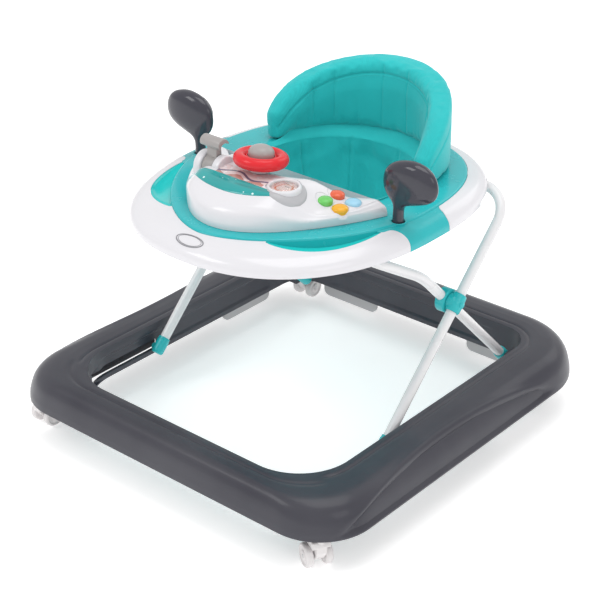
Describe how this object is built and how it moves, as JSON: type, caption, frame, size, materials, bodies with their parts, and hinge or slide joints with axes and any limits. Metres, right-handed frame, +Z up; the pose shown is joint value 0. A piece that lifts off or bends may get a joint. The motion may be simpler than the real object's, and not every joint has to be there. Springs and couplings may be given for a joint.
{
  "type": "baby walker",
  "caption": "Folding baby walker: moulded ring on twin-wheel casters, scissor tube frame, tray with sling seat, toy console, play mirrors and snack wells.",
  "frame": {"origin": "on the floor, under the middle of the base ring", "axes": "+Z up, -Y towards the walker's front (the console side), +X towards the seated child's left"},
  "size_m": [0.66, 0.7, 0.532],
  "materials": {
    "graphite": "satin moulded polypropylene, graphite",
    "brake_grey": "satin pale grey",
    "steel": "bright steel",
    "caster_white": "glossy off-white nylon",
    "white_paint": "white powder paint, semi-gloss",
    "teal": "glossy teal",
    "aqua": "glossy aqua",
    "white": "glossy white",
    "star_teal": "glossy teal with small white stars",
    "clear": "clear lens",
    "red": "glossy red",
    "grey": "satin warm grey",
    "orange": "glossy orange",
    "green": "glossy light green",
    "yellow": "glossy yellow",
    "blue": "glossy pale blue",
    "dark": "glossy dark grey",
    "mirror": "plane mirror film",
    "teal_fabric": "woven polyester over thin padding"
  },
  "bodies": {
    "base": {"base_ring": "graphite", "brake_pad_rear_left": "brake_grey", "brake_pad_rear_right": "brake_grey", "brake_pad_side_left": "brake_grey", "brake_pad_side_right": "brake_grey", "rear_clip_left": "graphite", "rear_clip_right": "graphite"},
    "caster_front_left": {"caster_yoke_front_left": "caster_white"},
    "wheels_front_left": {"caster_axle_front_left": "steel", "caster_wheel_a_front_left": "caster_white", "caster_wheel_b_front_left": "caster_white"},
    "caster_front_right": {"caster_yoke_front_right": "caster_white"},
    "wheels_front_right": {"caster_axle_front_right": "steel", "caster_wheel_a_front_right": "caster_white", "caster_wheel_b_front_right": "caster_white"},
    "caster_rear_left": {"caster_yoke_rear_left": "caster_white"},
    "wheels_rear_left": {"caster_axle_rear_left": "steel", "caster_wheel_a_rear_left": "caster_white", "caster_wheel_b_rear_left": "caster_white"},
    "caster_rear_right": {"caster_yoke_rear_right": "caster_white"},
    "wheels_rear_right": {"caster_axle_rear_right": "steel", "caster_wheel_a_rear_right": "caster_white", "caster_wheel_b_rear_right": "caster_white"},
    "rear_leg": {"inner_tube": "white_paint", "inner_foot_cap_left": "teal", "inner_foot_cap_right": "teal", "hub_disc_left": "teal", "hub_disc_right": "teal"},
    "front_leg": {"outer_tube": "white_paint", "outer_foot_cap_left": "teal", "outer_foot_cap_right": "teal", "hub_saddle_left": "teal", "hub_saddle_right": "teal"},
    "tray": {"tray_deck": "teal", "rim_front": "white", "rim_rear": "white", "snack_well_left": "aqua", "snack_well_right": "aqua", "bar_clamp_left": "white", "bar_clamp_right": "white", "height_rack": "white", "console_shell": "white", "star_window": "star_teal", "dial_bezel": "white", "dial_lens": "clear", "steering_column": "white", "seat_back": "teal_fabric", "seat_sling": "teal_fabric"},
    "latch": {"height_latch": "teal"},
    "steering": {"steering_wheel": "red"},
    "horn": {"horn_button": "grey"},
    "gear": {"gear_lever": "grey"},
    "button_orange": {"button_orange": "orange"},
    "button_green": {"button_green": "green"},
    "button_yellow": {"button_yellow": "yellow"},
    "button_blue": {"button_blue": "blue"},
    "mirror_left": {"mirror_left": "dark", "mirror_face_left": "mirror"},
    "mirror_right": {"mirror_right": "dark", "mirror_face_right": "mirror"}
  },
  "joints": [
    {"name": "swivel_front_left", "type": "hinge", "parent": "base", "child": "caster_front_left", "pos_m": [0.288, -0.3176, 0.05], "axis": [0, 0, 1], "continuous": true},
    {"name": "swivel_front_right", "type": "hinge", "parent": "base", "child": "caster_front_right", "pos_m": [-0.288, -0.3176, 0.05], "axis": [0, 0, 1], "continuous": true},
    {"name": "swivel_rear_left", "type": "hinge", "parent": "base", "child": "caster_rear_left", "pos_m": [0.25632, 0.28758, 0.05], "axis": [0, 0, 1], "continuous": true},
    {"name": "swivel_rear_right", "type": "hinge", "parent": "base", "child": "caster_rear_right", "pos_m": [-0.25632, 0.28758, 0.05], "axis": [0, 0, 1], "continuous": true},
    {"name": "roll_front_left", "type": "hinge", "parent": "caster_front_left", "child": "wheels_front_left", "pos_m": [0.2766, -0.31136, 0.0185], "axis": [0.4801, 0.8772, 0], "continuous": true},
    {"name": "roll_front_right", "type": "hinge", "parent": "caster_front_right", "child": "wheels_front_right", "pos_m": [-0.288, -0.3046, 0.0185], "axis": [1, 0, 0], "continuous": true},
    {"name": "roll_rear_left", "type": "hinge", "parent": "caster_rear_left", "child": "wheels_rear_left", "pos_m": [0.25632, 0.30058, 0.0185], "axis": [1, 0, 0], "continuous": true},
    {"name": "roll_rear_right", "type": "hinge", "parent": "caster_rear_right", "child": "wheels_rear_right", "pos_m": [-0.25632, 0.30058, 0.0185], "axis": [1, 0, 0], "continuous": true},
    {"name": "frame_fold", "type": "hinge", "parent": "base", "child": "rear_leg", "pos_m": [0, 0.241, 0.07], "axis": [1, 0, 0], "range_deg": [0, 35.5]},
    {"name": "frame_cross", "type": "hinge", "parent": "rear_leg", "child": "front_leg", "pos_m": [0, 0.0675, 0.243], "axis": [1, 0, 0], "range_deg": [-71.1, 0.1]},
    {"name": "tray_level", "type": "hinge", "parent": "front_leg", "child": "tray", "pos_m": [0, 0.20204, 0.37716], "axis": [1, 0, 0], "range_deg": [-0.1, 35.6]},
    {"name": "latch_lift", "type": "hinge", "parent": "tray", "child": "latch", "pos_m": [0, -0.188, 0.394], "axis": [1, 0, 0], "range_deg": [0, 12], "stiffness_Nm_per_rad": 0.5},
    {"name": "steering_turn", "type": "hinge", "parent": "tray", "child": "steering", "pos_m": [0, -0.108, 0.471], "axis": [0, 0.0998, 0.995], "continuous": true},
    {"name": "horn_press", "type": "slide", "parent": "steering", "child": "horn", "axis": [0, -0.0998, -0.995], "range_m": [0, 0.0035], "stiffness_N_per_m": 400},
    {"name": "gear_shift", "type": "hinge", "parent": "tray", "child": "gear", "pos_m": [-0.074, -0.128, 0.445], "axis": [1, 0, 0], "range_deg": [-20, 20]},
    {"name": "press_orange", "type": "slide", "parent": "tray", "child": "button_orange", "axis": [0, 0, -1], "range_m": [0, 0.0025], "stiffness_N_per_m": 400},
    {"name": "press_green", "type": "slide", "parent": "tray", "child": "button_green", "axis": [0, 0, -1], "range_m": [0, 0.0025], "stiffness_N_per_m": 400},
    {"name": "press_yellow", "type": "slide", "parent": "tray", "child": "button_yellow", "axis": [0, 0, -1], "range_m": [0, 0.0025], "stiffness_N_per_m": 400},
    {"name": "press_blue", "type": "slide", "parent": "tray", "child": "button_blue", "axis": [0, 0, -1], "range_m": [0, 0.0025], "stiffness_N_per_m": 400},
    {"name": "mirror_turn_left", "type": "hinge", "parent": "tray", "child": "mirror_left", "pos_m": [0.194, -0.033, 0.404], "axis": [0, 0, 1], "range_deg": [-30, 30]},
    {"name": "mirror_turn_right", "type": "hinge", "parent": "tray", "child": "mirror_right", "pos_m": [-0.194, -0.033, 0.404], "axis": [0, 0, 1], "range_deg": [-30, 30]}
  ],
  "couplings": [
    {"joint": "frame_cross", "follows": "frame_fold", "ratio": -2},
    {"joint": "tray_level", "follows": "frame_fold", "ratio": 1}
  ]
}
